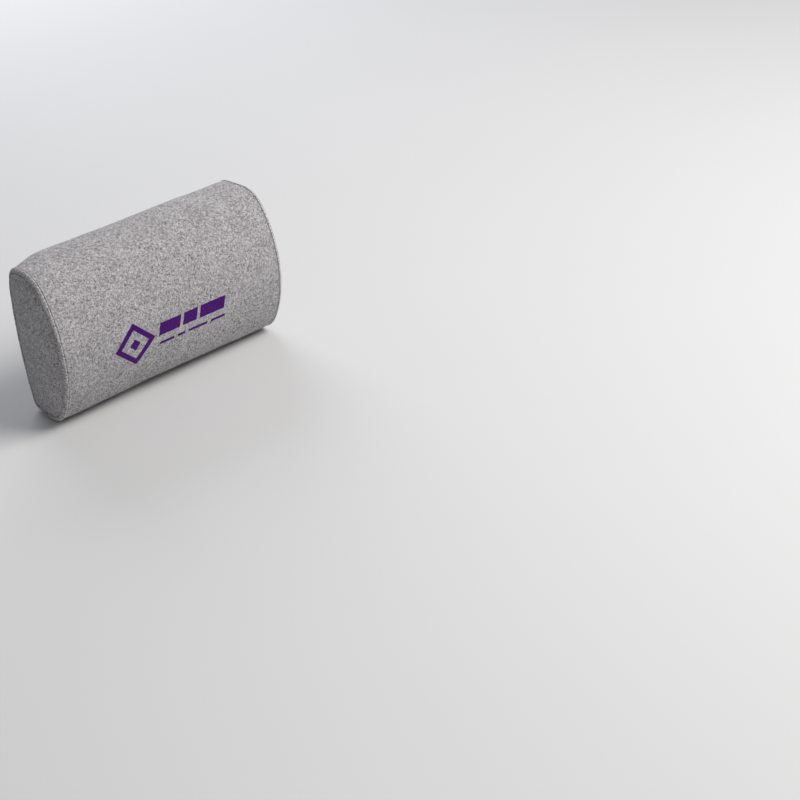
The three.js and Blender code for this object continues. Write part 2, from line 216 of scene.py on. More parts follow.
def new_material(name, **shader_values):
    """A material with one Principled shader. Underscores in shader_values stand for spaces."""
    made = bpy.data.materials.new(name)
    made.use_nodes = True
    tree = made.node_tree
    shader = tree.nodes["Principled BSDF"]
    for key, value in shader_values.items():
        shader.inputs[key.replace("_", " ")].default_value = value
    return made, tree, shader


def wire(tree, shader, **outputs):
    """Links output sockets to the shader's inputs. Underscores in outputs stand for spaces."""
    for key, value in outputs.items():
        tree.links.new(value, shader.inputs[key.replace("_", " ")])


def melange_cloth(name, printed):
    """Woven melange polyester: plain weave of slubby yarns, light and dark grey, with a soft nap.

    The threads are 0.75 mm apart, a little coarser than real ones, so that they show."""
    cover = bpy.context.scene.cushion_cover
    made, tree, shader = new_material(
        name, Roughness=0.92, Sheen_Weight=0.06, Sheen_Roughness=0.6, Specular_IOR_Level=0.12)
    pitch, slub = 0.75, 4.4
    place = node(tree, "VectorMath", {
        0: node(tree, "UVMap", uv_map="cloth"), "Scale": 1000.0}, operation="SCALE")
    axes = node(tree, "SeparateXYZ", (place,))
    across, along = axes.outputs["X"], axes.outputs["Y"]
    # A warp yarn runs along Y and a weft yarn along X. Each has its own run of lighter and
    # darker fibre, as long as a slub, and rises over every second yarn that it meets.
    shades, waves = [], []
    for side, length, spread, seed in ((across, along, 7.3, 0.0), (along, across, 5.9, 40.0)):
        thread = node(tree, "Math", (
            node(tree, "Math", (side, pitch), operation="DIVIDE"),), operation="FLOOR")
        shades.append(node(tree, "TexNoise", {
            "Vector": node(tree, "CombineXYZ", (
                node(tree, "Math", (thread, spread), operation="MULTIPLY"),
                node(tree, "Math", (length, slub), operation="DIVIDE"), seed)),
            "Scale": 1.0, "Detail": 3.0, "Roughness": 0.85}))
        waves.append(node(tree, "Math", (
            node(tree, "Math", (side, math.pi / pitch), operation="MULTIPLY"),),
            operation="SINE"))
    crossing = node(tree, "Math", waves, operation="MULTIPLY")
    warp_on_top = node(tree, "Math", (crossing, 0.0), operation="GREATER_THAN")
    # The yarn underneath shows through a little between the ones on top.
    shade = node(tree, "Mix", {
        0: node(tree, "Math", (warp_on_top, 0.76, 0.12), operation="MULTIPLY_ADD"),
        2: shades[1], 3: shades[0]}, data_type="FLOAT")
    height = node(tree, "Math", (
        node(tree, "Math", (crossing,), operation="ABSOLUTE"),), operation="SQRT")
    drift = node(tree, "TexNoise", {"Vector": place, "Scale": 0.035, "Detail": 2.0})
    tone = node(tree, "Math", (drift, 0.05, shade), operation="MULTIPLY_ADD")
    yarn = node(tree, "MapRange", {
        "Value": tone, "From Min": 0.4, "From Max": 0.65})
    cloth = node(tree, "Mix", {
        0: yarn, 6: cover.dark_yarn, 7: cover.light_yarn}, data_type="RGBA")
    # Painted shade: the cloth's colour is darkened, down to 0.62 of itself, where the weave is low
    # between the yarns.
    crevice_shade = node(tree, "MapRange", {
        "Value": height, "From Max": 0.55, "To Min": 0.62, "To Max": 1.0})
    surface = node(tree, "Mix", {
        0: 1.0, 6: cloth.outputs[2], 7: crevice_shade}, data_type="RGBA", blend_type="MULTIPLY")
    if printed:
        lit = node(tree, "MapRange", {
            "Value": tone, "From Min": 0.365, "From Max": 0.685, "To Min": 0.5, "To Max": 1.4})
        ink = node(tree, "Mix", {
            0: 0.6, 6: cover.ink, 7: lit}, data_type="RGBA", blend_type="MULTIPLY")
        surface = node(tree, "Mix", {
            0: print_mask(tree, across, along, shade), 6: surface.outputs[2],
            7: ink.outputs[2]}, data_type="RGBA")
    bump = node(tree, "Bump", {
        "Strength": 0.55, "Distance": 0.16 * MM,
        "Height": node(tree, "Math", (shade, 0.8, height), operation="MULTIPLY_ADD")})
    wire(tree, shader, Base_Color=surface.outputs[2], Normal=bump.outputs[0])
    return made


def plain_cloth():
    """The cloth of the panels without a print, made once."""
    return once("melange woven polyester", lambda: melange_cloth("melange woven polyester", False))


def print_mask(tree, across, along, yarn):
    """The printed emblem, a diamond outline, and beside it a thick and a thin broken bar.

    across and along are in mm from the middle of the crown. The ink misses some yarns."""
    slanted = node(tree, "Math", (along, -0.22, across), operation="MULTIPLY_ADD")
    whole = None
    # Each bar: its middle and half its height, its two ends, the gaps in it and their width.
    for middle, half, left, right, gaps, gap in (
            (-11.0, 8.0, -26.0, 68.0, (6.0, 30.0), 4.0),
            (-29.3, 1.7, -27.0, 67.0, (-4.0, 12.0, 44.0), 5.0)):
        run = node(tree, "Math", (slanted, 0.22 * middle), operation="ADD")
        mask = node(tree, "Math", (
            node(tree, "Math", (along, middle, half), operation="COMPARE"),
            node(tree, "Math", (run, (left + right) / 2, (right - left) / 2),
                 operation="COMPARE")), operation="MULTIPLY")
        for at in gaps:
            mask = node(tree, "Math", (
                mask, node(tree, "Math", (run, at, gap / 2), operation="COMPARE")),
                operation="SUBTRACT")
        whole = mask if whole is None else node(
            tree, "Math", (whole, mask), operation="MAXIMUM")
    emblem_x, emblem_s, reach, line, core = -60.5, -17.0, 28.0, 9.0, 7.5
    diamond = [node(tree, "Math", (
        node(tree, "Math", (value, middle), operation="SUBTRACT"),), operation="ABSOLUTE")
        for value, middle in ((across, emblem_x), (along, emblem_s))]
    diamond = node(tree, "Math", diamond, operation="ADD")
    outline = node(tree, "Math", (diamond, reach - line / 2, line / 2),
                   operation="COMPARE")
    inner = node(tree, "Math", (diamond, core), operation="LESS_THAN")
    for mask in (outline, inner):
        whole = node(tree, "Math", (whole, mask), operation="MAXIMUM")
    return node(tree, "Math", (whole, node(tree, "MapRange", {
        "Value": yarn, "From Min": 0.6, "From Max": 0.7, "To Min": 1.0, "To Max": 0.9})),
        operation="MULTIPLY")


def spun_thread():
    """Spun polyester sewing thread: matt, with a slight twist that breaks up its light."""
    made, tree, shader = new_material("spun polyester thread", Roughness=0.75, Sheen_Weight=0.2)
    stitch = bpy.context.scene.cushion_stitch
    twist = node(tree, "TexNoise", {
        "Vector": node(tree, "TexCoord").outputs["Object"],
        "Scale": 2500.0, "Detail": 1.0})
    shade = node(tree, "MapRange", {
        "Value": twist, "From Min": 0.3, "From Max": 0.7, "To Min": 0.75, "To Max": 1.1})
    tint = node(tree, "Mix", {
        0: 1.0, 6: stitch.thread, 7: shade}, data_type="RGBA", blend_type="MULTIPLY")
    bump = node(tree, "Bump", {"Strength": 0.4, "Distance": 0.05 * MM, "Height": twist})
    wire(tree, shader, Base_Color=tint.outputs[2], Normal=bump.outputs[0])
    return made


def ribbed_webbing(name, rib, cross, base):
    """Woven polyester webbing: fine picks across ribs that run its length, slightly silky.

    rib and cross are the spacings in mm of the ribs and of the picks."""
    made, tree, shader = new_material(
        name, Roughness=0.62, Sheen_Weight=0.3, Sheen_Roughness=0.4, Specular_IOR_Level=0.35)
    place = node(tree, "VectorMath", {
        0: node(tree, "UVMap", uv_map="cloth"), "Scale": 1000.0}, operation="SCALE")
    axes = node(tree, "SeparateXYZ", {0: place})
    # The picks lean one way on one rib and the other way on the next, as in a herringbone.
    zigzag = node(tree, "Math", (axes.outputs["Y"], rib), operation="PINGPONG")
    slanted = node(tree, "Math", (axes.outputs["X"], zigzag), operation="ADD")
    pick = node(tree, "Math", (
        node(tree, "Math", (slanted, 2 * math.pi / cross), operation="MULTIPLY"),),
        operation="SINE")
    rough = node(tree, "TexNoise", {"Vector": place, "Scale": 1.4, "Detail": 2.0})
    level = node(tree, "Math", (pick, 0.5, rough), operation="MULTIPLY_ADD")
    # The colour follows the picks' relief as well as a random noise: the tops of the picks are
    # painted lighter and the grooves between them darker, painted highlight and painted shade, over
    # a random unevenness in tone.
    tint = node(tree, "Mix", {
        0: node(tree, "MapRange", {
            "Value": level, "From Min": 0.0, "From Max": 1.0}),
        6: [c * 0.45 for c in base[:3]] + [1.0],
        7: [min(c * 1.7, 1.0) for c in base[:3]] + [1.0]}, data_type="RGBA")
    bump = node(tree, "Bump", {"Strength": 0.6, "Distance": 0.12 * MM, "Height": level})
    wire(tree, shader, Base_Color=tint.outputs[2], Normal=bump.outputs[0])
    return made


def moulded(name, base, roughness, grain_mm, **shader_values):
    """A moulded or cast surface with a fine grain, slightly uneven in gloss and in tone."""
    made, tree, shader = new_material(name, Roughness=roughness, **shader_values)
    place = node(tree, "TexCoord").outputs["Object"]
    grain = node(tree, "TexNoise", {
        "Vector": place, "Scale": 1 / (grain_mm * MM), "Detail": 2.0})
    patch = node(tree, "TexNoise", {"Vector": place, "Scale": 90.0, "Detail": 3.0})
    tint = node(tree, "Mix", {
        0: patch, 6: [c * 0.8 for c in base[:3]] + [1.0],
        7: [min(c * 1.25, 1.0) for c in base[:3]] + [1.0]}, data_type="RGBA")
    gloss = node(tree, "MapRange", {
        "Value": patch, "From Min": 0.3, "From Max": 0.7,
        "To Min": roughness - 0.06, "To Max": roughness + 0.08})
    bump = node(tree, "Bump", {"Strength": 0.25, "Distance": 0.03 * MM, "Height": grain})
    wire(tree, shader, Base_Color=tint.outputs[2], Roughness=gloss.outputs[0],
         Normal=bump.outputs[0])
    return made


def porous(name, dark, light, cell_mm, strength):
    """Open-cell foam or felted fibre: small cells or fibres that shade each other."""
    made, tree, shader = new_material(name, Roughness=0.95, Specular_IOR_Level=0.15)
    place = node(tree, "TexCoord").outputs["Object"]
    cells = node(tree, "TexVoronoi", {"Vector": place, "Scale": 1 / (cell_mm * MM)})
    # The pores, low in the bump, are painted darker than the cell walls round them: painted shade.
    tint = node(tree, "Mix", {0: cells, 6: dark, 7: light}, data_type="RGBA")
    bump = node(tree, "Bump", {"Strength": strength, "Distance": 0.3 * MM, "Height": cells})
    wire(tree, shader, Base_Color=tint.outputs[2], Normal=bump.outputs[0])
    return made


# ---- Helpers for objects ----

def deselect():
    bpy.ops.object.select_all(action="DESELECT")


def make_active(piece):
    deselect()
    piece.select_set(True)
    bpy.context.view_layer.objects.active = piece


def from_faces(name, points, faces, uvs=None):
    """A new object from points and faces, with a UV map in metres of cloth if uvs are given."""
    mesh = bpy.data.meshes.new(name)
    mesh.from_pydata([tuple(p) for p in points], [], faces)
    mesh.update()
    if uvs is not None:
        layer = mesh.uv_layers.new(name="cloth")
        for loop in mesh.loops:
            layer.data[loop.index].uv = uvs[loop.vertex_index]
    piece = bpy.data.objects.new(name, mesh)
    bpy.context.scene.collection.objects.link(piece)
    return piece


def apply_modifier(piece, kind, **settings):
    """Adds a modifier with these settings and applies it."""
    make_active(piece)
    bpy.ops.object.modifier_add(type=kind)
    modifier = piece.modifiers[-1]
    for key, value in settings.items():
        setattr(modifier, key, value)
    bpy.ops.object.modifier_apply(modifier=modifier.name)


def subdivide(piece):
    apply_modifier(piece, "SUBSURF", levels=1, render_levels=1)


def smooth(piece, angle=None):
    """Smooth shading, all over or up to an angle in degrees."""
    make_active(piece)
    if angle is None:
        bpy.ops.object.shade_smooth()
    else:
        bpy.ops.object.shade_smooth_by_angle(angle=math.radians(angle))


def coordinates(mesh):
    flat = np.empty(len(mesh.vertices) * 3)
    mesh.vertices.foreach_get("co", flat)
    return flat.reshape(-1, 3)


def set_coordinates(mesh, points):
    mesh.vertices.foreach_set("co", np.asarray(points).ravel())
    mesh.update()


def hand_over(piece, body, slot, material, *nodes):
    """Gives a finished piece its material and body, and hides the CAD nodes that it replaces. Its
    slot is not used.
    """
    piece.data.materials.clear()
    piece.data.materials.append(material)
    if body:
        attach(piece, body)
    if nodes:
        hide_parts(*nodes)


def once(name, make):
    """The material of this name, made the first time that it is asked for."""
    return bpy.data.materials.get(name) or make()


def surface_of(*pieces):
    """A tree for finding the nearest point on these pieces."""
    points, faces = [], []
    for piece in pieces:
        start = len(points)
        points += [v.co.copy() for v in piece.data.vertices]
        faces += [[start + i for i in face.vertices] for face in piece.data.polygons]
    return BVHTree.FromPolygons(points, faces)


# ---- The cover's shape ----

def section(inset=0.0):
    """The D outline at an inset, as RING (y, z) points: from the middle of the lower back corner
    up the back, over the top, down the crown and along the bottom."""
    reach = CROWN_RADIUS - FRONT_CORNER
    corner_z, back_z = HALF_HEIGHT - FRONT_CORNER, HALF_HEIGHT - BACK_CORNER
    lean = math.degrees(math.asin(corner_z / reach))
    crown_y = CROWN_RADIUS - DEPTH
    corner_y = crown_y - reach * math.cos(math.radians(lean))
    turn = 180 - lean
    half = (90 + turn) / 2

    def arc(y, z, radius, start, end, count):
        angles = np.radians(np.linspace(start, end, count + 1)[:-1])
        return [(y + (radius - inset) * math.cos(a), z + (radius - inset) * math.sin(a))
                for a in angles]

    def flat(y0, y1, z, count):
        return [(y, z) for y in np.linspace(y0, y1, count + 1)[:-1]]

    heights = [-back_z,
               *np.linspace(-HEM_Z, ZIP_Z - SLOT_HALF, SLOT_LOW - LOWER_HEM + 1),
               ZIP_Z,
               *np.linspace(ZIP_Z + SLOT_HALF, HEM_Z, UPPER_HEM - SLOT_HIGH + 1)]
    top = HALF_HEIGHT - inset
    points = [
        *arc(-BACK_CORNER, -back_z, BACK_CORNER, -45, 0, 2),
        *[(-inset, z) for z in heights],
        *arc(-BACK_CORNER, back_z, BACK_CORNER, 0, 45, 2),
        *arc(-BACK_CORNER, back_z, BACK_CORNER, 45, 90, 2),
        *flat(-BACK_CORNER, corner_y, top, 6),
        *arc(corner_y, corner_z, FRONT_CORNER, 90, half, 4),
        *arc(corner_y, corner_z, FRONT_CORNER, half, turn, 4),
        *arc(crown_y, 0, CROWN_RADIUS, turn, 360 - turn, 28),
        *arc(corner_y, -corner_z, FRONT_CORNER, 360 - turn, 360 - half, 4),
        *arc(corner_y, -corner_z, FRONT_CORNER, 360 - half, 270, 4),
        *flat(corner_y, -BACK_CORNER, -top, 6),
        *arc(-BACK_CORNER, -back_z, BACK_CORNER, 270, 315, 2),
    ]
    assert len(points) == RING
    return np.array(points)


def end_grid(ring):
    """A grid of (SIDE + 1) by (ACROSS + 1) points that fills a ring, back to front, and the ring's
    index at each point of the grid's edge."""
    v = np.linspace(0, 1, SIDE + 1)[:, None, None]
    u = np.linspace(0, 1, ACROSS + 1)[None, :, None]
    index = np.arange(SIDE + 1)
    left, right = ring[index][:, None], ring[2 * SIDE + ACROSS - index][:, None]
    index = np.arange(ACROSS + 1)
    top, bottom = ring[SIDE + index][None], ring[-index % RING][None]
    corners = ((1 - u) * (1 - v) * ring[0] + u * (1 - v) * ring[2 * SIDE + ACROSS]
               + (1 - u) * v * ring[SIDE] + u * v * ring[SIDE + ACROSS])
    grid = (1 - u) * left + u * right + (1 - v) * bottom + v * top - corners
    edge = {}
    for i in range(SIDE + 1):
        edge[i, 0], edge[i, ACROSS] = i, 2 * SIDE + ACROSS - i
    for j in range(ACROSS + 1):
        edge[SIDE, j], edge[0, j] = SIDE + j, -j % RING
    return grid, edge


def closed_form(stations, dome, dome_band):
    """A closed D-form along X with domed ends. stations are (x, ring) pairs from left to right.
    Returns its points, all its faces, and the faces of each end."""
    points = [(x, y, z) for x, ring in stations for y, z in ring]
    faces, ends = [], {}
    for k in range(len(stations) - 1):
        for j in range(RING):
            n = (j + 1) % RING
            faces.append((k * RING + j, k * RING + n, (k + 1) * RING + n, (k + 1) * RING + j))
    for side, k in ((-1, 0), (1, len(stations) - 1)):
        x, ring = stations[k]
        grid, edge = end_grid(ring)
        index = {}
        for i in range(SIDE + 1):
            for j in range(ACROSS + 1):
                if (i, j) in edge:
                    index[i, j] = k * RING + edge[i, j]
                    continue
                place = grid[i, j]
                inside = np.linalg.norm(ring - place, axis=1).min()
                rise = math.sin(math.pi / 2 * min(inside / dome_band, 1))
                index[i, j] = len(points)
                points.append((x + side * dome * rise, *place))
        quads = []
        for i in range(SIDE):
            for j in range(ACROSS):
                quad = (index[i, j], index[i, j + 1], index[i + 1, j + 1], index[i + 1, j])
                quads.append(quad if side < 0 else quad[::-1])
        ends[side] = quads
        faces += quads
    return np.array(points), faces, ends


def settle(points):
    """The filling has bulged both ends outwards, except at their back corners, and has settled
    at the left end, so its upper back corner has come in and down."""
    points = np.array(points, float)
    x, y, z = points.T
    front = np.sin(np.pi / 2 * np.clip(-y / BULGE_DEPTH, 0, 1))
    middle = np.clip(1 - (z / HALF_HEIGHT) ** 2, 0, 1)
    near_end = np.clip((np.abs(x) - SLOT_END) / BULGE_RUN, 0, 1)
    points[:, 0] += np.sign(x) * BULGE * near_end * (1 - (1 - front) * (1 - middle))
    corner = np.array([-SEAM_X, 0.0, HALF_HEIGHT])
    near = np.exp(-((points - corner) ** 2).sum(axis=1) / (2 * SETTLED ** 2))
    return points + near[:, None] * np.array([0.5, -3.0, -7.5]) * MM


def swell(points, faces, held, limit):
    """Blows the cover up from inside with a cloth simulation. Held points stay, and no point
    moves further than limit."""
    piece = from_faces("swelling", points, faces)
    make_active(piece)
    group = piece.vertex_groups.new(name="held")
    group.add([int(i) for i in held], 1.0, "REPLACE")
    bpy.ops.object.modifier_add(type="CLOTH")
    cloth = piece.modifiers[-1]
    settings = cloth.settings
    settings.quality = 6
    settings.mass = 0.15
    settings.tension_stiffness = settings.compression_stiffness = 25
    settings.shear_stiffness = 12
    settings.bending_stiffness = 2
    settings.use_pressure = True
    settings.uniform_pressure_force = 4
    settings.vertex_group_mass = "held"
    settings.effector_weights.gravity = 0
    cloth.point_cache.frame_start, cloth.point_cache.frame_end = 1, 20
    for step in range(1, 21):
        bpy.context.scene.frame_set(step)
    evaluated = piece.evaluated_get(bpy.context.evaluated_depsgraph_get())
    blown = coordinates(evaluated.data)
    bpy.data.objects.remove(piece)
    bpy.context.scene.frame_set(1)
    move = blown - points
    far = np.linalg.norm(move, axis=1)
    # A soft limit: small moves stay as they are and large ones tend to the limit.
    move *= (limit * np.tanh(far / limit) / np.maximum(far, 1e-9))[:, None]
    return points + move


def cover_form():
    """The whole cover at rest: its points, its faces by piece, and each point's place in cloth."""
    half = [*np.linspace(0, SLOT_END, 26), 131.2 * MM, 136.4 * MM, 140.6 * MM, TOPSTITCH_X,
            145.6 * MM, PANEL_X]
    along = [-x for x in half[:0:-1]] + half
    stations = [(-SEAM_X, section(END_INSET)), (-WELT_X, section())]
    for x in along:
        # The seam's stitching pulls the panel in beside the welt.
        dip = 0.4 * MM if abs(abs(x) - TOPSTITCH_X) < 0.1 * MM else 0.0
        stations.append((x, section(dip)))
    stations += [(WELT_X, section()), (SEAM_X, section(END_INSET))]
    points, faces, ends = closed_form(stations, PUFF, PUFF_BAND)
    count = len(stations) * RING
    on_back = np.arange(count) % RING <= UPPER_HEM + 1
    at_seam = np.abs(points[:count, 0]) > TOPSTITCH_X - 0.1 * MM
    held = np.nonzero(on_back | at_seam)[0]
    limit = bpy.context.scene.cushion_cover.swell
    points = swell(points, faces, held, limit)
    return stations, settle(points), ends


def uneven(piece, height, size, seed, keep=()):
    """Moves a piece's points along their normals by smooth noise, less near the X places kept."""
    mesh = piece.data
    points = coordinates(mesh)
    normals = np.empty(len(points) * 3)
    mesh.vertices.foreach_get("normal", normals)
    normals = normals.reshape(-1, 3)
    offset = Vector((seed, seed * 2.7, seed * 5.1))
    for i, point in enumerate(points):
        amount = height * noise.noise(Vector(point) / size + offset)
        for x, band in keep:
            amount *= min(abs(abs(point[0]) - x) / band, 1.0)
        points[i] += normals[i] * amount
    set_coordinates(mesh, points)


class CUSHION_OT_cover(bpy.types.Operator):
    """Build the padded cover: front, back and end panels"""
    bl_idname = "cushion.cover"
    bl_label = "Cover panels"

    def execute(self, context):
        stations, points, ends = cover_form()
        outline = section()
        steps = np.linalg.norm(np.diff(np.vstack([outline, outline[:1]]), axis=0), axis=1)
        length_at = np.concatenate([[0], np.cumsum(np.tile(steps, 2))])
        plain = plain_cloth()
        printed = once("melange polyester with print",
                       lambda: melange_cloth("melange polyester with print", True))
        quads = {"front_cover": [], "back_cover_lower": [], "back_cover_upper": []}
        last = len(stations) - 1
        for k in range(2, last - 2):
            middle = abs(stations[k][0] + stations[k + 1][0]) / 2
            closed = int(middle > SLOT_END)  # beyond the slot, the back panels meet
            spans = {"front_cover": range(UPPER_HEM, RING + LOWER_HEM),
                     "back_cover_lower": range(LOWER_HEM, SLOT_LOW + closed),
                     "back_cover_upper": range(SLOT_HIGH - closed, UPPER_HEM)}
            for name, span in spans.items():
                quads[name] += [((k, j), (k, j + 1), (k + 1, j + 1), (k + 1, j)) for j in span]
        nodes = {"front_cover": "front_panel", "back_cover_lower": "back_panel_lower",
                 "back_cover_upper": "back_panel_upper"}
        cover = context.scene.cushion_cover
        for name, faces in quads.items():
            keys = sorted({key for face in faces for key in face})
            index = {key: i for i, key in enumerate(keys)}
            where = [points[k * RING + j % RING] for k, j in keys]
            cloth = [(x, length_at[CROWN_MIDDLE] - length_at[j])
                     for (k, j), (x, y, z) in zip(keys, where)]
            piece = from_faces(name, where, [[index[key] for key in face] for face in faces], cloth)
            self.finish(piece, "front" in name)
            hand_over(piece, "cushion", "melange_cover",
                      printed if name == "front_cover" else plain, nodes[name])
        for side, where in ENDS:
            used = sorted({i for face in ends[side] for i in face})
            index = {i: n for n, i in enumerate(used)}
            piece = from_faces(
                f"end_cover_{where}", points[used],
                [[index[i] for i in face] for face in ends[side]], [points[i][1:] for i in used])
            self.finish(piece, True)
            hand_over(piece, "cushion", "melange_cover", plain, f"end_panel_{where}")
        return {"FINISHED"}

    @staticmethod
    def finish(piece, free):
        """Gives the cloth its thickness and soft rolled edges, and the free panels some life."""
        apply_modifier(piece, "SOLIDIFY", thickness=FABRIC, offset=-1)
        subdivide(piece)
        if free:
            height = bpy.context.scene.cushion_cover.wrinkle
            uneven(piece, height * 2, 70 * MM, 3.0, [(PANEL_X, 30 * MM)])
            uneven(piece, height, 26 * MM, 11.0, [(PANEL_X, 12 * MM)])
        smooth(piece)


def ring_path(x, inset, every):
    """Points round the D outline at an inset and at this X, this far apart, with their outward
    normals."""
    ring = section(inset)
    closed = np.vstack([ring, ring[:1]])
    lengths = np.concatenate([[0], np.cumsum(np.linalg.norm(np.diff(closed, axis=0), axis=1))])
    count = round(lengths[-1] / every)
    at = np.linspace(0, lengths[-1], count, endpoint=False)
    y, z = np.interp(at, lengths, closed[:, 0]), np.interp(at, lengths, closed[:, 1])
    ahead = np.column_stack([np.roll(y, -1) - np.roll(y, 1), np.roll(z, -1) - np.roll(z, 1)])
    ahead /= np.linalg.norm(ahead, axis=1)[:, None]
    # The ring runs up the back, so its outward side is on its right.
    normals = np.column_stack([ahead[:, 1], -ahead[:, 0]])
    return np.column_stack([np.full(count, x), y, z]), normals, at


# The seam's folded cloth, in mm outwards along X and from the outline, as a closed loop. It is
# flush with the front panel and rolls over softly to the end panel.
PIPING = ((-1.6, -5.0), (-2.1, -3.0), (-2.15, -0.9), (-1.5, 0.1), (-0.1, 0.1),
          (1.3, -0.7), (2.4, -2.1), (2.8, -3.8), (2.3, -5.1), (0.6, -5.4))


class CUSHION_OT_welts(bpy.types.Operator):
    """Build the raised seams round the two end panels"""
    bl_idname = "cushion.welts"
    bl_label = "Seam welts"

    def execute(self, context):
        plain = plain_cloth()
        for side, where in ENDS:
            path, normals, at = ring_path(side * WELT_X, 0, 3.2 * MM)
            profile = np.array(PIPING) * (side * MM, MM)
            points, uvs, faces = [], [], []
            count, around = len(path), len(profile)
            for i, normal in enumerate(normals):
                # The stitches pinch the welt a little at every second step.
                pinch = 1 + 0.05 * math.sin(i * 2.1) + 0.04 * math.sin(i * 0.7)
                for n, (wide, high) in enumerate(profile):
                    y, z = path[i][1:] + normal * high
                    points.append((path[i][0] + wide * pinch, y, z))
                    uvs.append((n * 1.6 * MM, at[i]))
            for i in range(count):
                for n in range(around):
                    a, b = i * around, (i + 1) % count * around
                    m = (n + 1) % around
                    faces.append((a + n, a + m, b + m, b + n))
            piece = from_faces(f"seam_piping_{where}", settle(points), faces, uvs)
            in_edit_mode(piece, lambda: bpy.ops.mesh.normals_make_consistent(inside=False))
            subdivide(piece)
            smooth(piece)
            hand_over(piece, "cushion", "melange_cover", plain, f"seam_welt_{where}")
        return {"FINISHED"}


# ---- Filling ----

def inner_form(low, high):
    """A closed D-form that fills a CAD node's box: the cover's outline further in."""
    dome, dome_band = 4 * MM, 16 * MM
    inset, back = HALF_HEIGHT - high.z, -high.y
    ring = section(inset)
    # The back is further in than the rest, so the depth is taken up evenly.
    ring[:, 0] -= (back - inset) * (1 + ring[:, 0] / DEPTH)
    stations = [(x, ring) for x in np.linspace(low.x + dome, high.x - dome, 49)]
    points, faces, _ = closed_form(stations, dome, dome_band)
    return settle(points), faces


class CUSHION_OT_filling(bpy.types.Operator):
    """Build the foam core and the liner bag round it"""
    bl_idname = "cushion.filling"
    bl_label = "Foam and liner"

    def execute(self, context):
        points, faces = inner_form(*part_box("foam_core"))
        foam = from_faces("foam_block", points, faces)
        subdivide(foam)
        uneven(foam, 0.5 * MM, 12 * MM, 21.0)
        smooth(foam)
        hand_over(foam, "cushion", "foam", once("polyurethane foam", lambda: porous(
            "polyurethane foam", colour("#c9bf98"), colour("#efe8cc"), 1.1, 0.8)), "foam_core")

        low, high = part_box("foam_liner")
        points, faces = inner_form(low, high)
        slit_x, slit_half = 70 * MM, 2 * MM
        middle = [sum(points[i] for i in face) / len(face) for face in faces]
        in_slit = [abs(x) < slit_x and y > high.y - 3 * MM and abs(z - ZIP_Z) < SLOT_HALF
                   for x, y, z in middle]
        kept = [face for face, slit in zip(faces, in_slit) if not slit]
        near = ((np.abs(points[:, 0]) < slit_x + 1 * MM) & (points[:, 1] > high.y - 3 * MM)
                & (np.abs(points[:, 2] - ZIP_Z) < SLOT_HALF + 0.1 * MM))
        points[near, 2] = ZIP_Z + np.sign(points[near, 2] - ZIP_Z) * slit_half
        used = sorted({i for face in kept for i in face})
        index = {i: n for n, i in enumerate(used)}
        liner = from_faces("liner_bag", points[used], [[index[i] for i in face] for face in kept])
        subdivide(liner)
        apply_modifier(liner, "SOLIDIFY", thickness=0.7 * MM, offset=-1)
        smooth(liner)
        hand_over(liner, "cushion", "inner_cloth", once("non-woven polypropylene", lambda: porous(
            "non-woven polypropylene", colour("#d9d6cf"), colour("#f4f2ec"), 0.6, 0.3)),
            "foam_liner")
        return {"FINISHED"}


# ---- Helpers for pieces made with Blender's operators ----

def in_edit_mode(piece, *steps):
    """Runs edit-mode operators on all of a piece. Each step is a function."""
    make_active(piece)
    bpy.ops.object.mode_set(mode="EDIT")
    bpy.ops.mesh.select_all(action="SELECT")
    for step in steps:
        step()
    bpy.ops.object.mode_set(mode="OBJECT")


def block(name, low, high, bevel=0.0, segments=2):
    """A box between two corners with rounded edges, its place in its mesh."""
    low, high = Vector(low), Vector(high)
    deselect()
    bpy.ops.mesh.primitive_cube_add(size=1, location=(low + high) / 2)
    piece = bpy.context.object
    piece.name, piece.scale = name, high - low
    bpy.ops.object.transform_apply(location=True, rotation=True, scale=True)
    if bevel:
        apply_modifier(piece, "BEVEL", width=bevel, segments=segments, limit_method="NONE")
    return piece


def join(name, pieces):
    """One object out of several."""
    deselect()
    for piece in pieces:
        piece.select_set(True)
    bpy.context.view_layer.objects.active = pieces[0]
    bpy.ops.object.join()
    pieces[0].name = name
    return pieces[0]


def lay_cloth(piece, u=0, v=2):
    """A UV map in metres, from two of the axes, for weaves on flat pieces."""
    mesh = piece.data
    layer = mesh.uv_layers.get("cloth") or mesh.uv_layers.new(name="cloth")
    for loop in mesh.loops:
        point = mesh.vertices[loop.vertex_index].co
        layer.data[loop.index].uv = point[u], point[v]


def small_sheet(name, low, high, columns, rows, height):
    """A grid of cloth between two corners. height gives Y at an X and a Z."""
    points = [(x, height(x, z), z) for x in np.linspace(low.x, high.x, columns)
              for z in np.linspace(low.z, high.z, rows)]
    faces = [(a, a + 1, a + rows + 1, a + rows)
             for i in range(columns - 1) for a in range(i * rows, (i + 1) * rows - 1)]
    return from_faces(name, points, faces)


def refined(name, node_name, bevel, segments=2):
    """A copy of a hard CAD node with its triangles merged to flat faces and its edges rounded."""
    piece = bpy.data.objects.new(name, frame["nodes"][node_name].data.copy())
    bpy.context.scene.collection.objects.link(piece)
    in_edit_mode(piece,
                 lambda: bpy.ops.mesh.remove_doubles(threshold=0.002 * MM),
                 lambda: bpy.ops.mesh.dissolve_limited(angle_limit=math.radians(2)))
    apply_modifier(piece, "BEVEL", width=bevel, segments=segments, limit_method="ANGLE",
                   angle_limit=math.radians(35), harden_normals=False)
    smooth(piece, 40)
    return piece


def small_shape(make):
    """The points and faces of a small shape, to be copied many times; make leaves it active."""
    deselect()
    make()
    piece = bpy.context.object
    bpy.ops.object.transform_apply(location=True, rotation=True, scale=True)
    shape = coordinates(piece.data), [tuple(face.vertices) for face in piece.data.polygons]
    bpy.data.objects.remove(piece)
    return shape


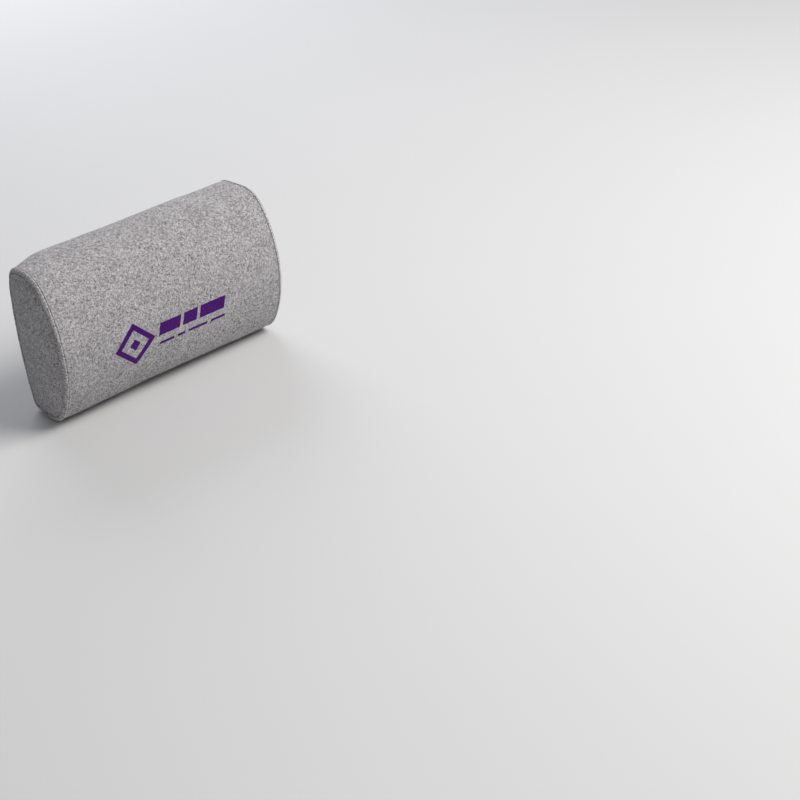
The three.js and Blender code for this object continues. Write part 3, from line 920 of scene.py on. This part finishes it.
def copies(name, shape, placings):
    """One object with a copy of the shape at each placing: (3 axes as columns, origin)."""
    base, base_faces = shape
    points, faces = [], []
    for axes, origin in placings:
        start = len(points) * len(base)
        points.append(base @ np.array(axes).T + np.array(origin))
        faces += [[start + i for i in face] for face in base_faces]
    return from_faces(name, np.concatenate(points), faces)


def stitch_shape():
    """One stitch: a short thread, rounded at both ends, along Z and of unit size."""
    return small_shape(lambda: bpy.ops.mesh.primitive_uv_sphere_add(
        segments=6, ring_count=4, radius=0.5))


def stitch_places(path, surface, length, pitch, thick=0.9 * MM, lift=0.15 * MM):
    """Where the stitches along a path of points lie on a surface."""
    path = np.asarray(path)
    lengths = np.concatenate([[0], np.cumsum(np.linalg.norm(np.diff(path, axis=0), axis=1))])
    count = max(int(lengths[-1] / pitch), 1)
    step = lengths[-1] / count

    def at(distance):
        return Vector([np.interp(distance, lengths, path[:, axis]) for axis in range(3)])

    placings = []
    for n in range(count):
        start, end = at((n + 0.5) * step - length / 2), at((n + 0.5) * step + length / 2)
        spot, normal, _, _ = surface.find_nearest((start + end) / 2)
        along = end - start
        along = (along - normal * along.dot(normal)).normalized()
        side = normal.cross(along)
        axes = np.column_stack([side * thick, normal * thick * 0.8, along * length])
        placings.append((axes, spot + normal * lift))
    return placings


# ---- Zip ----

class CUSHION_OT_zip_tapes(bpy.types.Operator):
    """Build the two woven tapes of the zip"""
    bl_idname = "cushion.zip_tapes"
    bl_label = "Zip tapes"

    def execute(self, context):
        weave = once("woven polyester zip tape", lambda: ribbed_webbing(
            "woven polyester zip tape", 0.9, 1.1, colour("#4a494c")))
        for where, side in (("upper", 1), ("lower", -1)):
            low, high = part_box(f"zipper_tape_{where}")
            flat = block(f"zip_tape_{where}", low, high, 0.2 * MM)
            # A denser, raised selvage runs beside the coil.
            ridge_z = ZIP_Z + side * 3.9 * MM
            ridge = block("selvage", (low.x, high.y - 0.1 * MM, ridge_z - 0.5 * MM),
                          (high.x, high.y + 0.35 * MM, ridge_z + 0.5 * MM), 0.2 * MM)
            piece = join(f"zip_tape_{where}", [flat, ridge])
            lay_cloth(piece)
            smooth(piece, 40)
            hand_over(piece, "cushion", "zip_tape", weave, f"zipper_tape_{where}")
        return {"FINISHED"}


def coil_tooth():
    """One turn of the upper coil in X = 0: a loop that comes from the tape, turns and goes back.
    Y and Z are from the coil's top and the zip's middle."""
    wire, top, bottom, bend_z, root_z = (v * MM for v in (0.34, -0.4, -1.66, 0.42, 3.0))
    radius = (top - bottom) / 2
    bpy.ops.mesh.primitive_circle_add(vertices=6, radius=wire, location=(0, top, root_z))
    bpy.ops.object.transform_apply(location=True, rotation=True, scale=True)
    bpy.ops.object.mode_set(mode="EDIT")
    bpy.ops.mesh.select_all(action="SELECT")
    bpy.ops.mesh.extrude_region_move(
        TRANSFORM_OT_translate={"value": (0, 0, bend_z - root_z)})
    bpy.ops.mesh.spin(steps=4, angle=math.pi, center=(0, top - radius, bend_z), axis=(1, 0, 0))
    bpy.ops.mesh.extrude_region_move(
        TRANSFORM_OT_translate={"value": (0, 0, root_z - bend_z)})
    bpy.ops.mesh.select_all(action="SELECT")
    bpy.ops.mesh.normals_make_consistent(inside=False)
    bpy.ops.object.mode_set(mode="OBJECT")


class CUSHION_OT_zip_coils(bpy.types.Operator):
    """Build the two meshed coils of the zip, turn by turn"""
    bl_idname = "cushion.zip_coils"
    bl_label = "Zip coils"

    def execute(self, context):
        nylon = once("nylon coil", lambda: moulded(
            "nylon coil", colour("#3a3a3e"), 0.42, 0.3))
        pitch = 1.5 * MM
        slider_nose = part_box("zipper_slider")[1].x - 5 * MM
        tooth, thread = small_shape(coil_tooth), stitch_shape()
        # The sewing thread that holds each turn to the tape: across, outwards and along X.
        thread_axes = np.array([[0, 0, 1.25], [0, 0.45, 0], [0.5, 0, 0]]) * MM
        for where, side, shift in (("upper", 1, 0.0), ("lower", -1, 0.5)):
            # The lower coil is the upper one turned about Y, half a turn of the coil along.
            turn = np.diag([side, 1, side]).astype(float)
            turns, threads = [], []
            for n in range(int(2 * COIL_HALF / pitch)):
                x = -COIL_HALF + (n + 0.3 + shift) * pitch
                # Inside the slider the two coils part.
                part = min(max((x - slider_nose) / (3 * MM), 0), 1)
                z = ZIP_Z + side * part ** 2 * (3 - 2 * part) * 1.3 * MM
                turns.append((turn, (x, 0, z)))
                threads.append((thread_axes, (x, -0.08 * MM, z + side * 2.3 * MM)))
            piece = join(f"zip_coil_{where}", [
                copies("turns", tooth, turns), copies("threads", thread, threads)])
            smooth(piece)
            hand_over(piece, "cushion", "zip_coil", nylon, f"zipper_coil_{where}")
        return {"FINISHED"}


class CUSHION_OT_zip_metal(bpy.types.Operator):
    """Build the slider, its pull and the stops"""
    bl_idname = "cushion.zip_metal"
    bl_label = "Zip slider, pull and stops"

    def execute(self, context):
        zinc = once("black nickel plated zinc", lambda: moulded(
            "black nickel plated zinc", colour("#6a6870"), 0.3, 0.5, Metallic=0.9))
        slider = refined("zip_slider", "zipper_slider", 0.3 * MM, 3)
        hand_over(slider, "zip_slider", "zip_metal", zinc, "zipper_slider")
        pull = refined("zip_pull_tab", "zipper_pull", 0.3 * MM, 3)
        low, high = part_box("zipper_pull")
        middle = (low + high) / 2
        # Grip bars stand up on both faces near the free end.
        bars = []
        for n in range(4):
            x = low.x + (2.4 + 1.7 * n) * MM
            bars.append(block("grip", (x, low.y - 0.22 * MM, middle.z - 2.1 * MM),
                              (x + 0.8 * MM, high.y + 0.22 * MM, middle.z + 2.1 * MM), 0.15 * MM))
        pull = join("zip_pull_tab", [pull, *bars])
        smooth(pull, 40)
        hand_over(pull, "zip_pull", "zip_metal", zinc, "zipper_pull")
        for part in ("bottom_stop", "top_stop_upper", "top_stop_lower"):
            stop = refined(f"zip_{part}", f"zipper_{part}", 0.3 * MM)
            hand_over(stop, "cushion", "zip_metal", zinc, f"zipper_{part}")
        return {"FINISHED"}


# ---- Straps ----

STRAP_HALF, WEBBING = 12.5 * MM, 1.5 * MM  # half the width, and the thickness
# Heights of the strap's middle line: sewn down, free, round the buckle's bar, and folded back.
SEWN_Y, FREE_Y, BAR_Y, FOLDED_Y = 1.05 * MM, 2.35 * MM, 4.75 * MM, 4.25 * MM
STRAP_X, SEWN_X, LIFT_X = 131 * MM, 103 * MM, 95 * MM  # its end, and where it leaves the back
FOLD_RADIUS = BAR_Y - FREE_Y
FOLD_FLAT, FOLD_DROP = 6 * MM, 15 * MM


def strap_line(side, fold_x, end_x):
    """The middle line of a strap in X and Y: sewn end, free run, fold round a bar, and back."""
    corners = [(side * STRAP_X, SEWN_Y), (side * SEWN_X, SEWN_Y), (side * LIFT_X, FREE_Y)]
    corners += [(fold_x - side * FOLD_RADIUS * math.sin(a), BAR_Y - FOLD_RADIUS * math.cos(a))
                for a in np.linspace(0, math.pi, 9)]
    corners += [(fold_x + side * FOLD_FLAT, BAR_Y + FOLD_RADIUS),
                (fold_x + side * (FOLD_FLAT + FOLD_DROP), FOLDED_Y),
                (fold_x + side * (FOLD_FLAT + FOLD_DROP + 2 * MM), FOLDED_Y), (end_x, FOLDED_Y)]
    line = np.array(corners)
    for _ in range(3):  # cuts the corners round, the ends stay
        near, far = line[:-1] * 0.75 + line[1:] * 0.25, line[:-1] * 0.25 + line[1:] * 0.75
        line = np.vstack([line[:1], np.stack([near, far], 1).reshape(-1, 2)[1:-1], line[-1:]])
    lengths = np.concatenate([[0], np.cumsum(np.linalg.norm(np.diff(line, axis=0), axis=1))])
    at = np.linspace(0, lengths[-1], int(lengths[-1] / (1.6 * MM)))
    return np.column_stack([np.interp(at, lengths, values) for values in line.T]), at


def webbing(name, line, at, ribs):
    """Webbing along a line in X and Y, with ribs that run its length."""
    half, thick = STRAP_HALF, WEBBING
    across = []
    for n in range(ribs * 4 + 1):
        z = half * (2 * n / (ribs * 4) - 1) * 0.97
        groove = 0.16 * MM * (1 - abs(math.sin(math.pi * n / 4)))
        across.append((z, thick / 2 - groove))
    ring = [*across, (half, 0.2 * thick), (half, -0.2 * thick),
            *[(z, -h) for z, h in reversed(across)], (-half, -0.2 * thick), (-half, 0.2 * thick)]
    count, around = len(line), len(ring)
    ahead = np.gradient(line, axis=0)
    ahead /= np.linalg.norm(ahead, axis=1)[:, None]
    points, uvs, faces = [], [], []
    for i, ((x, y), (dx, dy)) in enumerate(zip(line, ahead)):
        # The cut ends are melted a little thinner.
        melt = 0.75 if i in (0, count - 1) else 1.0
        for z, high in ring:
            points.append((x - dy * high * melt, y + dx * high * melt, z))
            uvs.append((at[i], z))
    for i in range(count - 1):
        for n in range(around):
            m = (n + 1) % around
            a, b = i * around, (i + 1) * around
            faces.append((a + n, b + n, b + m, a + m))
    faces += [tuple(range(around)), tuple(range((count - 1) * around, count * around))[::-1]]
    piece = from_faces(name, points, faces, uvs)
    in_edit_mode(piece, lambda: bpy.ops.mesh.normals_make_consistent(inside=False))
    smooth(piece, 50)
    return piece


class CUSHION_OT_straps(bpy.types.Operator):
    """Build the two webbing straps"""
    bl_idname = "cushion.straps"
    bl_label = "Straps"

    def execute(self, context):
        settings = context.scene.cushion_strap
        weave = once("polyester webbing", lambda: ribbed_webbing(
            "polyester webbing", 1.14, 1.0, settings.webbing))
        left = webbing("webbing_left", *strap_line(-1, -38 * MM, -92 * MM), settings.ribs)
        hand_over(left, "cushion", "webbing", weave, "strap_left")
        fold = 13.6 * MM
        right = webbing("webbing_right", *strap_line(1, fold, 50.6 * MM), settings.ribs)
        hand_over(right, None, "webbing", weave, "strap_right")
        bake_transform(right)
        return {"FINISHED"}


class CUSHION_OT_patches(bpy.types.Operator):
    """Build the cloth patches over the straps' sewn ends"""
    bl_idname = "cushion.patches"
    bl_label = "Strap patches"

    def execute(self, context):
        plain = plain_cloth()
        drop, edge = 2.0 * MM, 3.0 * MM
        for where in ("left", "right"):
            low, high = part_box(f"strap_patch_{where}")

            def height(x, z):
                """Past the webbing the patch comes down to the back."""
                past = max(abs(z) - STRAP_HALF, abs(x) - STRAP_X, 0) / edge
                return high.y - drop * past ** 2 * (3 - 2 * past)

            patch = small_sheet(f"webbing_patch_{where}", low, high, 29, 32, height)
            apply_modifier(patch, "SOLIDIFY", thickness=1.0 * MM, offset=-1)
            apply_modifier(patch, "BEVEL", width=0.35 * MM, segments=2, limit_method="ANGLE")
            lay_cloth(patch)
            smooth(patch, 50)
            hand_over(patch, "cushion", "melange_cover", plain, f"strap_patch_{where}")
        return {"FINISHED"}


# ---- Buckle ----

class CUSHION_OT_buckle(bpy.types.Operator):
    """Build the side-release buckle and the strap's keeper"""
    bl_idname = "cushion.buckle"
    bl_label = "Buckle and keeper"

    def execute(self, context):
        acetal = once("moulded acetal", lambda: moulded(
            "moulded acetal", colour("#232326"), 0.42, 0.35))
        low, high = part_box("buckle_female")
        socket = refined("buckle_socket_half", "buckle_female", 0.8 * MM, 3)
        # Three raised ridges across the closed face, for grip.
        ridges = [block("ridge", (low.x + x, high.y - 0.3 * MM, -9 * MM),
                        (low.x + x + 1.2 * MM, high.y + 0.35 * MM, 9 * MM), 0.3 * MM)
                  for x in (3 * MM, 6 * MM, 9 * MM)]
        socket = join("buckle_socket_half", [socket, *ridges])
        smooth(socket, 40)
        hand_over(socket, "buckle_socket", "acetal", acetal, "buckle_female")
        plug = refined("buckle_plug_half", "buckle_male", 0.5 * MM, 3)
        hand_over(plug, "cushion", "acetal", acetal, "buckle_male")
        for where in ("upper", "lower"):
            arm = refined(f"buckle_arm_{where}", f"release_arm_{where}", 0.45 * MM, 3)
            hand_over(arm, f"{where}_arm", "acetal", acetal, f"release_arm_{where}")
        keeper = refined("webbing_keeper", "strap_keeper", 0.35 * MM, 3)
        hand_over(keeper, "keeper", "acetal", acetal, "strap_keeper")
        return {"FINISHED"}


# ---- Label ----

class CUSHION_OT_label(bpy.types.Operator):
    """Build the blank care label"""
    bl_idname = "cushion.label"
    bl_label = "Care label"

    def execute(self, context):
        satin = once("woven satin label", lambda: ribbed_webbing(
            "woven satin label", 0.5, 0.45, colour("#e2e1dc")))
        low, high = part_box("care_label")
        width, length = high.x - low.x, high.z - low.z

        def height(x, z):
            """It is sewn along its top and lifts towards its free corners."""
            off_middle = 2 * (x - low.x) / width - 1
            lift = 1.6 * MM * ((high.z - z) / length) ** 2 * (0.4 + 0.6 * off_middle ** 2)
            return low.y + 0.35 * MM + lift

        label = small_sheet("blank_label", low, high, 21, 25, height)
        lay_cloth(label)
        apply_modifier(label, "SOLIDIFY", thickness=0.25 * MM, offset=-1)
        smooth(label, 40)
        hand_over(label, "cushion", "label_cloth", satin, "care_label")
        return {"FINISHED"}


# ---- Stitching ----

class CUSHION_OT_stitching(bpy.types.Operator):
    """Sew the seams, the zip's slot, the strap patches and the label, stitch by stitch"""
    bl_idname = "cushion.stitching"
    bl_label = "Stitching"

    def execute(self, context):
        settings = context.scene.cushion_stitch
        objects = bpy.data.objects
        cover = surface_of(*[objects[name] for name in (
            "front_cover", "back_cover_lower", "back_cover_upper")])
        welts = surface_of(objects["seam_piping_left"], objects["seam_piping_right"])
        thread, shape = once("spun polyester thread", spun_thread), stitch_shape()
        rows = {}
        for side, where in ENDS:
            path = settle(ring_path(side * (WELT_X - 0.9 * MM), 0, 2 * MM)[0])
            rows[f"stitches_seam_{where}"] = (welts, [np.vstack([path, path[:1]])])
        ends = PANEL_X - 5 * MM
        rows["stitches_hems"] = (cover, [
            [(-ends, 0, z), (ends, 0, z)] for z in (-HEM_Z + 3 * MM, HEM_Z - 3 * MM)])
        slot, far = SLOT_HALF + 2.6 * MM, SLOT_END + 3 * MM
        rows["stitches_zip"] = (cover, [
            [(-far, 0, ZIP_Z + slot), (far, 0, ZIP_Z + slot)],
            [(-far, 0, ZIP_Z - slot), (far, 0, ZIP_Z - slot)],
            *[[(x, 0, ZIP_Z - slot), (x, 0, ZIP_Z + slot)] for x in (-far, far)]])
        for side, where in ENDS:
            low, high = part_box(f"strap_patch_{where}")
            in_x, in_z, y = 4 * MM, 4.5 * MM, high.y
            x0, x1, z0, z1 = low.x + in_x, high.x - in_x, low.z + in_z, high.z - in_z
            a, b, c, d = (x0, y, z0), (x1, y, z0), (x1, y, z1), (x0, y, z1)
            rows[f"stitches_patch_{where}"] = (
                surface_of(objects[f"webbing_patch_{where}"]), [[a, b, c, d, a], [a, c], [b, d]])
        low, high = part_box("care_label")
        top = high.z - 2 * MM
        rows["stitches_label"] = (surface_of(objects["blank_label"]), [
            [(low.x + 1 * MM, high.y, top), (high.x - 1 * MM, high.y, top)]])
        for name, (surface, paths) in rows.items():
            scale = 0.75 if "patch" in name or "label" in name else 1.0
            placings = [place for path in paths for place in stitch_places(
                path, surface, settings.length * scale, settings.pitch * scale)]
            piece = copies(name, shape, placings)
            smooth(piece)
            hand_over(piece, "cushion", "melange_cover", thread)
        return {"FINISHED"}


# ---- Stage ----

class CUSHION_OT_stage(bpy.types.Operator):
    """Build the floor, the lights and the camera"""
    bl_idname = "cushion.stage"
    bl_label = "Stage"

    def execute(self, context):
        scene, settings = context.scene, context.scene.cushion_stage
        low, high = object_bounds()
        deselect()
        bpy.ops.mesh.primitive_plane_add(size=14, location=(0, 0, low.z - 0.3 * MM))
        floor = context.object
        floor.name = "floor"
        bpy.ops.object.transform_apply(location=True, rotation=True, scale=True)
        made, tree, shader = new_material("matt painted floor", Roughness=0.85)
        speckle = node(tree, "TexNoise", {
            "Vector": node(tree, "TexCoord").outputs["Object"], "Scale": 3.0})
        tree.links.new(node(tree, "Mix", {
            0: speckle, 6: [c * 0.97 for c in settings.floor[:3]] + [1.0],
            7: settings.floor}, data_type="RGBA").outputs[2], shader.inputs["Base Color"])
        floor.data.materials.append(made)
        floor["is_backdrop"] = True

        world = bpy.data.worlds.new("soft studio")
        world.use_nodes = True
        background = world.node_tree.nodes["Background"]
        background.inputs["Color"].default_value = colour("#f4f5f8")
        background.inputs["Strength"].default_value = 0.27
        scene.world = world
        aim = Vector((0, -DEPTH / 2, 0))
        for name, place, size, power, tint in (
                ("key_light", (1.3, -1.5, 2.0), 1.5, settings.key_power, "#fffdfb"),
                ("back_light", (0.9, 2.2, 1.3), 1.6, settings.key_power * 0.45, "#f5f8ff")):
            bpy.ops.object.light_add(type="AREA", location=place)
            light = context.object
            light.name = name
            light.data.shape = "SQUARE"
            light.data.size = size
            light.data.energy = power
            light.data.color = colour(tint)[:3]
            light.rotation_euler = (aim - Vector(place)).to_track_quat("-Z", "Y").to_euler()

        azimuth, elevation, roll = (math.radians(a) for a in (-40.66, 30.2, -4.28))
        target, distance = Vector((0.3979, -0.0151, -0.3243)), 2.288
        back = Vector((math.sin(azimuth) * math.cos(elevation),
                       -math.cos(azimuth) * math.cos(elevation), math.sin(elevation)))
        bpy.ops.object.camera_add(location=target + back * distance)
        camera = context.object
        camera.name = "camera"
        turn = (-back).to_track_quat("-Z", "Y").to_matrix()
        side, up = turn.col[0], turn.col[1]
        turned_side = side * math.cos(roll) + up * math.sin(roll)
        turned_up = -side * math.sin(roll) + up * math.cos(roll)
        turn.col[0], turn.col[1] = turned_side, turned_up
        camera.rotation_euler = turn.to_euler()
        camera.data.lens = settings.lens
        camera.data.sensor_width = 36
        camera.data.clip_start, camera.data.clip_end = 0.05, 50
        scene.camera = camera
        scene.view_settings.view_transform = "Standard"
        return {"FINISHED"}


# ---- Panel and registration ----

OPERATORS = (CUSHION_OT_cover, CUSHION_OT_welts, CUSHION_OT_filling, CUSHION_OT_zip_tapes,
             CUSHION_OT_zip_coils, CUSHION_OT_zip_metal, CUSHION_OT_straps, CUSHION_OT_patches,
             CUSHION_OT_buckle, CUSHION_OT_label, CUSHION_OT_stitching, CUSHION_OT_stage)
ORDER = tuple(operator.bl_idname.split(".")[1] for operator in OPERATORS)
GROUPS = {"cushion_cover": CoverSettings, "cushion_stitch": StitchSettings,
          "cushion_strap": StrapSettings, "cushion_stage": StageSettings}


class CUSHION_PT_panel(bpy.types.Panel):
    """Lists the cushion's settings and the operators that build it"""
    bl_idname = "CUSHION_PT_panel"
    bl_label = "Lumbar cushion"
    bl_space_type = "VIEW_3D"
    bl_region_type = "UI"
    bl_category = "Cushion"

    def draw(self, context):
        for group in GROUPS:
            box = self.layout.box()
            settings = getattr(context.scene, group)
            for name in settings.__annotations__:
                box.prop(settings, name)
        for operator in OPERATORS:
            self.layout.operator(operator.bl_idname)


def register():
    for name, group in GROUPS.items():
        bpy.utils.register_class(group)
        setattr(bpy.types.Scene, name, PointerProperty(type=group))
    for made in (*OPERATORS, CUSHION_PT_panel):
        bpy.utils.register_class(made)


def unregister():
    for made in (CUSHION_PT_panel, *reversed(OPERATORS)):
        bpy.utils.unregister_class(made)
    for name, group in GROUPS.items():
        delattr(bpy.types.Scene, name)
        bpy.utils.unregister_class(group)


def main():
    register()
    for name in ORDER:
        getattr(bpy.ops.cushion, name)()


if __name__ == "__main__":
    main()
